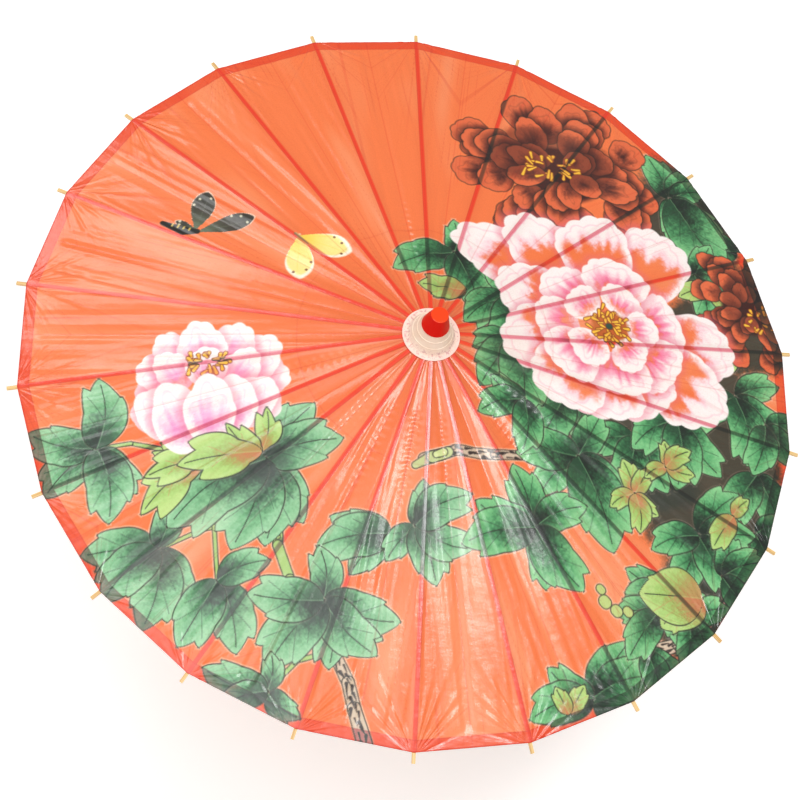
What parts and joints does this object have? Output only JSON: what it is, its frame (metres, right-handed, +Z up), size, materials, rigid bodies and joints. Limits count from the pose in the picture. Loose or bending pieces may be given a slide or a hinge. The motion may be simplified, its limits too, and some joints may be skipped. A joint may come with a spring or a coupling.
{
  "type": "oil paper umbrella",
  "caption": "Traditional parasol with a bamboo rib frame, a flat printed orange-red translucent cover, a cream crown cap, a red knob finial and a sliding runner that folds it.",
  "frame": {"origin": "on the shaft's axis, where the straight part of the grip begins, 6 mm above the grip's rounded end", "axes": "+Z up the shaft towards the finial; the first rib points along +X"},
  "size_m": [0.8212, 0.8134, 0.5571],
  "materials": {
    "cover_cloth": "oiled, translucent, satin sheen, printed",
    "bamboo": "split bamboo, clear oiled",
    "turned_wood": "turned hardwood, satin varnish",
    "finial_red": "glossy",
    "cap_cream": "semi-matte, faint printed border",
    "wire": "drawn wire",
    "thread": "twisted cotton"
  },
  "bodies": {
    "root": {"shaft": "turned_wood", "handle": "turned_wood", "top_hub": "turned_wood", "hub_wire": "wire", "hub_pin": "wire", "finial": "finial_red", "crown_cap": "cap_cream", "cover": "cover_cloth", "joint_thread": "thread", "rim_thread": "thread"},
    "runner": {"runner": "turned_wood", "runner_wire": "wire"},
    "catch": {"catch_spring": "wire"},
    "rib_01": {"rib_01": "bamboo"},
    "rib_02": {"rib_02": "bamboo"},
    "rib_03": {"rib_03": "bamboo"},
    "rib_04": {"rib_04": "bamboo"},
    "rib_05": {"rib_05": "bamboo"},
    "rib_06": {"rib_06": "bamboo"},
    "rib_07": {"rib_07": "bamboo"},
    "rib_08": {"rib_08": "bamboo"},
    "rib_09": {"rib_09": "bamboo"},
    "rib_10": {"rib_10": "bamboo"},
    "rib_11": {"rib_11": "bamboo"},
    "rib_12": {"rib_12": "bamboo"},
    "rib_13": {"rib_13": "bamboo"},
    "rib_14": {"rib_14": "bamboo"},
    "rib_15": {"rib_15": "bamboo"},
    "rib_16": {"rib_16": "bamboo"},
    "rib_17": {"rib_17": "bamboo"},
    "rib_18": {"rib_18": "bamboo"},
    "rib_19": {"rib_19": "bamboo"},
    "rib_20": {"rib_20": "bamboo"},
    "rib_21": {"rib_21": "bamboo"},
    "rib_22": {"rib_22": "bamboo"},
    "stretcher_01": {"stretcher_01": "bamboo"},
    "stretcher_02": {"stretcher_02": "bamboo"},
    "stretcher_03": {"stretcher_03": "bamboo"},
    "stretcher_04": {"stretcher_04": "bamboo"},
    "stretcher_05": {"stretcher_05": "bamboo"},
    "stretcher_06": {"stretcher_06": "bamboo"},
    "stretcher_07": {"stretcher_07": "bamboo"},
    "stretcher_08": {"stretcher_08": "bamboo"},
    "stretcher_09": {"stretcher_09": "bamboo"},
    "stretcher_10": {"stretcher_10": "bamboo"},
    "stretcher_11": {"stretcher_11": "bamboo"},
    "stretcher_12": {"stretcher_12": "bamboo"},
    "stretcher_13": {"stretcher_13": "bamboo"},
    "stretcher_14": {"stretcher_14": "bamboo"},
    "stretcher_15": {"stretcher_15": "bamboo"},
    "stretcher_16": {"stretcher_16": "bamboo"},
    "stretcher_17": {"stretcher_17": "bamboo"},
    "stretcher_18": {"stretcher_18": "bamboo"},
    "stretcher_19": {"stretcher_19": "bamboo"},
    "stretcher_20": {"stretcher_20": "bamboo"},
    "stretcher_21": {"stretcher_21": "bamboo"},
    "stretcher_22": {"stretcher_22": "bamboo"}
  },
  "joints": [
    {"name": "runner_slide", "type": "slide", "parent": "root", "child": "runner", "axis": [0, 0, -1], "range_m": [0, 0.18604], "deforming": ["cover", "joint_thread", "rim_thread", "catch_spring"]},
    {"name": "catch_press", "type": "hinge", "parent": "root", "child": "catch", "pos_m": [0.0022, 0, 0.37143], "axis": [0, -1, 0], "range_deg": [0, 6.5], "stiffness_Nm_per_rad": 0.05},
    {"name": "rib_01_hinge", "type": "hinge", "parent": "root", "child": "rib_01", "pos_m": [0.016, 0, 0.506], "axis": [0, 1, 0], "range_deg": [0, 73]},
    {"name": "rib_02_hinge", "type": "hinge", "parent": "root", "child": "rib_02", "pos_m": [0.01535, 0.00451, 0.506], "axis": [-0.2817, 0.9595, 0], "range_deg": [0, 73]},
    {"name": "rib_03_hinge", "type": "hinge", "parent": "root", "child": "rib_03", "pos_m": [0.01346, 0.00865, 0.506], "axis": [-0.5406, 0.8413, 0], "range_deg": [0, 73]},
    {"name": "rib_04_hinge", "type": "hinge", "parent": "root", "child": "rib_04", "pos_m": [0.01048, 0.01209, 0.506], "axis": [-0.7557, 0.6549, 0], "range_deg": [0, 73]},
    {"name": "rib_05_hinge", "type": "hinge", "parent": "root", "child": "rib_05", "pos_m": [0.00665, 0.01455, 0.506], "axis": [-0.9096, 0.4154, 0], "range_deg": [0, 73]},
    {"name": "rib_06_hinge", "type": "hinge", "parent": "root", "child": "rib_06", "pos_m": [0.00228, 0.01584, 0.506], "axis": [-0.9898, 0.1423, 0], "range_deg": [0, 73]},
    {"name": "rib_07_hinge", "type": "hinge", "parent": "root", "child": "rib_07", "pos_m": [-0.00228, 0.01584, 0.506], "axis": [-0.9898, -0.1423, 0], "range_deg": [0, 73]},
    {"name": "rib_08_hinge", "type": "hinge", "parent": "root", "child": "rib_08", "pos_m": [-0.00665, 0.01455, 0.506], "axis": [-0.9096, -0.4154, 0], "range_deg": [0, 73]},
    {"name": "rib_09_hinge", "type": "hinge", "parent": "root", "child": "rib_09", "pos_m": [-0.01048, 0.01209, 0.506], "axis": [-0.7557, -0.6549, 0], "range_deg": [0, 73]},
    {"name": "rib_10_hinge", "type": "hinge", "parent": "root", "child": "rib_10", "pos_m": [-0.01346, 0.00865, 0.506], "axis": [-0.5406, -0.8413, 0], "range_deg": [0, 73]},
    {"name": "rib_11_hinge", "type": "hinge", "parent": "root", "child": "rib_11", "pos_m": [-0.01535, 0.00451, 0.506], "axis": [-0.2817, -0.9595, 0], "range_deg": [0, 73]},
    {"name": "rib_12_hinge", "type": "hinge", "parent": "root", "child": "rib_12", "pos_m": [-0.016, 0, 0.506], "axis": [0, -1, 0], "range_deg": [0, 73]},
    {"name": "rib_13_hinge", "type": "hinge", "parent": "root", "child": "rib_13", "pos_m": [-0.01535, -0.00451, 0.506], "axis": [0.2817, -0.9595, 0], "range_deg": [0, 73]},
    {"name": "rib_14_hinge", "type": "hinge", "parent": "root", "child": "rib_14", "pos_m": [-0.01346, -0.00865, 0.506], "axis": [0.5406, -0.8413, 0], "range_deg": [0, 73]},
    {"name": "rib_15_hinge", "type": "hinge", "parent": "root", "child": "rib_15", "pos_m": [-0.01048, -0.01209, 0.506], "axis": [0.7557, -0.6549, 0], "range_deg": [0, 73]},
    {"name": "rib_16_hinge", "type": "hinge", "parent": "root", "child": "rib_16", "pos_m": [-0.00665, -0.01455, 0.506], "axis": [0.9096, -0.4154, 0], "range_deg": [0, 73]},
    {"name": "rib_17_hinge", "type": "hinge", "parent": "root", "child": "rib_17", "pos_m": [-0.00228, -0.01584, 0.506], "axis": [0.9898, -0.1423, 0], "range_deg": [0, 73]},
    {"name": "rib_18_hinge", "type": "hinge", "parent": "root", "child": "rib_18", "pos_m": [0.00228, -0.01584, 0.506], "axis": [0.9898, 0.1423, 0], "range_deg": [0, 73]},
    {"name": "rib_19_hinge", "type": "hinge", "parent": "root", "child": "rib_19", "pos_m": [0.00665, -0.01455, 0.506], "axis": [0.9096, 0.4154, 0], "range_deg": [0, 73]},
    {"name": "rib_20_hinge", "type": "hinge", "parent": "root", "child": "rib_20", "pos_m": [0.01048, -0.01209, 0.506], "axis": [0.7557, 0.6549, 0], "range_deg": [0, 73]},
    {"name": "rib_21_hinge", "type": "hinge", "parent": "root", "child": "rib_21", "pos_m": [0.01346, -0.00865, 0.506], "axis": [0.5406, 0.8413, 0], "range_deg": [0, 73]},
    {"name": "rib_22_hinge", "type": "hinge", "parent": "root", "child": "rib_22", "pos_m": [0.01535, -0.00451, 0.506], "axis": [0.2817, 0.9595, 0], "range_deg": [0, 73]},
    {"name": "stretcher_01_hinge", "type": "hinge", "parent": "rib_01", "child": "stretcher_01", "pos_m": [0.13142, 0, 0.48147], "axis": [0, 1, 0], "range_deg": [-146, 0]},
    {"name": "stretcher_02_hinge", "type": "hinge", "parent": "rib_02", "child": "stretcher_02", "pos_m": [0.1261, 0.03703, 0.48147], "axis": [-0.2817, 0.9595, 0], "range_deg": [-146, 0]},
    {"name": "stretcher_03_hinge", "type": "hinge", "parent": "rib_03", "child": "stretcher_03", "pos_m": [0.11056, 0.07105, 0.48147], "axis": [-0.5406, 0.8413, 0], "range_deg": [-146, 0]},
    {"name": "stretcher_04_hinge", "type": "hinge", "parent": "rib_04", "child": "stretcher_04", "pos_m": [0.08606, 0.09932, 0.48147], "axis": [-0.7557, 0.6549, 0], "range_deg": [-146, 0]},
    {"name": "stretcher_05_hinge", "type": "hinge", "parent": "rib_05", "child": "stretcher_05", "pos_m": [0.05459, 0.11955, 0.48147], "axis": [-0.9096, 0.4154, 0], "range_deg": [-146, 0]},
    {"name": "stretcher_06_hinge", "type": "hinge", "parent": "rib_06", "child": "stretcher_06", "pos_m": [0.0187, 0.13008, 0.48147], "axis": [-0.9898, 0.1423, 0], "range_deg": [-146, 0]},
    {"name": "stretcher_07_hinge", "type": "hinge", "parent": "rib_07", "child": "stretcher_07", "pos_m": [-0.0187, 0.13008, 0.48147], "axis": [-0.9898, -0.1423, 0], "range_deg": [-146, 0]},
    {"name": "stretcher_08_hinge", "type": "hinge", "parent": "rib_08", "child": "stretcher_08", "pos_m": [-0.05459, 0.11955, 0.48147], "axis": [-0.9096, -0.4154, 0], "range_deg": [-146, 0]},
    {"name": "stretcher_09_hinge", "type": "hinge", "parent": "rib_09", "child": "stretcher_09", "pos_m": [-0.08606, 0.09932, 0.48147], "axis": [-0.7557, -0.6549, 0], "range_deg": [-146, 0]},
    {"name": "stretcher_10_hinge", "type": "hinge", "parent": "rib_10", "child": "stretcher_10", "pos_m": [-0.11056, 0.07105, 0.48147], "axis": [-0.5406, -0.8413, 0], "range_deg": [-146, 0]},
    {"name": "stretcher_11_hinge", "type": "hinge", "parent": "rib_11", "child": "stretcher_11", "pos_m": [-0.1261, 0.03703, 0.48147], "axis": [-0.2817, -0.9595, 0], "range_deg": [-146, 0]},
    {"name": "stretcher_12_hinge", "type": "hinge", "parent": "rib_12", "child": "stretcher_12", "pos_m": [-0.13142, 0, 0.48147], "axis": [0, -1, 0], "range_deg": [-146, 0]},
    {"name": "stretcher_13_hinge", "type": "hinge", "parent": "rib_13", "child": "stretcher_13", "pos_m": [-0.1261, -0.03703, 0.48147], "axis": [0.2817, -0.9595, 0], "range_deg": [-146, 0]},
    {"name": "stretcher_14_hinge", "type": "hinge", "parent": "rib_14", "child": "stretcher_14", "pos_m": [-0.11056, -0.07105, 0.48147], "axis": [0.5406, -0.8413, 0], "range_deg": [-146, 0]},
    {"name": "stretcher_15_hinge", "type": "hinge", "parent": "rib_15", "child": "stretcher_15", "pos_m": [-0.08606, -0.09932, 0.48147], "axis": [0.7557, -0.6549, 0], "range_deg": [-146, 0]},
    {"name": "stretcher_16_hinge", "type": "hinge", "parent": "rib_16", "child": "stretcher_16", "pos_m": [-0.05459, -0.11955, 0.48147], "axis": [0.9096, -0.4154, 0], "range_deg": [-146, 0]},
    {"name": "stretcher_17_hinge", "type": "hinge", "parent": "rib_17", "child": "stretcher_17", "pos_m": [-0.0187, -0.13008, 0.48147], "axis": [0.9898, -0.1423, 0], "range_deg": [-146, 0]},
    {"name": "stretcher_18_hinge", "type": "hinge", "parent": "rib_18", "child": "stretcher_18", "pos_m": [0.0187, -0.13008, 0.48147], "axis": [0.9898, 0.1423, 0], "range_deg": [-146, 0]},
    {"name": "stretcher_19_hinge", "type": "hinge", "parent": "rib_19", "child": "stretcher_19", "pos_m": [0.05459, -0.11955, 0.48147], "axis": [0.9096, 0.4154, 0], "range_deg": [-146, 0]},
    {"name": "stretcher_20_hinge", "type": "hinge", "parent": "rib_20", "child": "stretcher_20", "pos_m": [0.08606, -0.09932, 0.48147], "axis": [0.7557, 0.6549, 0], "range_deg": [-146, 0]},
    {"name": "stretcher_21_hinge", "type": "hinge", "parent": "rib_21", "child": "stretcher_21", "pos_m": [0.11056, -0.07105, 0.48147], "axis": [0.5406, 0.8413, 0], "range_deg": [-146, 0]},
    {"name": "stretcher_22_hinge", "type": "hinge", "parent": "rib_22", "child": "stretcher_22", "pos_m": [0.1261, -0.03703, 0.48147], "axis": [0.2817, 0.9595, 0], "range_deg": [-146, 0]}
  ],
  "couplings": [
    {"joint": "rib_01_hinge", "follows": "runner_slide", "rad_per_m": 6.8487},
    {"joint": "rib_02_hinge", "follows": "runner_slide", "rad_per_m": 6.8487},
    {"joint": "rib_03_hinge", "follows": "runner_slide", "rad_per_m": 6.8487},
    {"joint": "rib_04_hinge", "follows": "runner_slide", "rad_per_m": 6.8487},
    {"joint": "rib_05_hinge", "follows": "runner_slide", "rad_per_m": 6.8487},
    {"joint": "rib_06_hinge", "follows": "runner_slide", "rad_per_m": 6.8487},
    {"joint": "rib_07_hinge", "follows": "runner_slide", "rad_per_m": 6.8487},
    {"joint": "rib_08_hinge", "follows": "runner_slide", "rad_per_m": 6.8487},
    {"joint": "rib_09_hinge", "follows": "runner_slide", "rad_per_m": 6.8487},
    {"joint": "rib_10_hinge", "follows": "runner_slide", "rad_per_m": 6.8487},
    {"joint": "rib_11_hinge", "follows": "runner_slide", "rad_per_m": 6.8487},
    {"joint": "rib_12_hinge", "follows": "runner_slide", "rad_per_m": 6.8487},
    {"joint": "rib_13_hinge", "follows": "runner_slide", "rad_per_m": 6.8487},
    {"joint": "rib_14_hinge", "follows": "runner_slide", "rad_per_m": 6.8487},
    {"joint": "rib_15_hinge", "follows": "runner_slide", "rad_per_m": 6.8487},
    {"joint": "rib_16_hinge", "follows": "runner_slide", "rad_per_m": 6.8487},
    {"joint": "rib_17_hinge", "follows": "runner_slide", "rad_per_m": 6.8487},
    {"joint": "rib_18_hinge", "follows": "runner_slide", "rad_per_m": 6.8487},
    {"joint": "rib_19_hinge", "follows": "runner_slide", "rad_per_m": 6.8487},
    {"joint": "rib_20_hinge", "follows": "runner_slide", "rad_per_m": 6.8487},
    {"joint": "rib_21_hinge", "follows": "runner_slide", "rad_per_m": 6.8487},
    {"joint": "rib_22_hinge", "follows": "runner_slide", "rad_per_m": 6.8487},
    {"joint": "stretcher_01_hinge", "follows": "runner_slide", "rad_per_m": -13.697},
    {"joint": "stretcher_02_hinge", "follows": "runner_slide", "rad_per_m": -13.697},
    {"joint": "stretcher_03_hinge", "follows": "runner_slide", "rad_per_m": -13.697},
    {"joint": "stretcher_04_hinge", "follows": "runner_slide", "rad_per_m": -13.697},
    {"joint": "stretcher_05_hinge", "follows": "runner_slide", "rad_per_m": -13.697},
    {"joint": "stretcher_06_hinge", "follows": "runner_slide", "rad_per_m": -13.697},
    {"joint": "stretcher_07_hinge", "follows": "runner_slide", "rad_per_m": -13.697},
    {"joint": "stretcher_08_hinge", "follows": "runner_slide", "rad_per_m": -13.697},
    {"joint": "stretcher_09_hinge", "follows": "runner_slide", "rad_per_m": -13.697},
    {"joint": "stretcher_10_hinge", "follows": "runner_slide", "rad_per_m": -13.697},
    {"joint": "stretcher_11_hinge", "follows": "runner_slide", "rad_per_m": -13.697},
    {"joint": "stretcher_12_hinge", "follows": "runner_slide", "rad_per_m": -13.697},
    {"joint": "stretcher_13_hinge", "follows": "runner_slide", "rad_per_m": -13.697},
    {"joint": "stretcher_14_hinge", "follows": "runner_slide", "rad_per_m": -13.697},
    {"joint": "stretcher_15_hinge", "follows": "runner_slide", "rad_per_m": -13.697},
    {"joint": "stretcher_16_hinge", "follows": "runner_slide", "rad_per_m": -13.697},
    {"joint": "stretcher_17_hinge", "follows": "runner_slide", "rad_per_m": -13.697},
    {"joint": "stretcher_18_hinge", "follows": "runner_slide", "rad_per_m": -13.697},
    {"joint": "stretcher_19_hinge", "follows": "runner_slide", "rad_per_m": -13.697},
    {"joint": "stretcher_20_hinge", "follows": "runner_slide", "rad_per_m": -13.697},
    {"joint": "stretcher_21_hinge", "follows": "runner_slide", "rad_per_m": -13.697},
    {"joint": "stretcher_22_hinge", "follows": "runner_slide", "rad_per_m": -13.697}
  ]
}
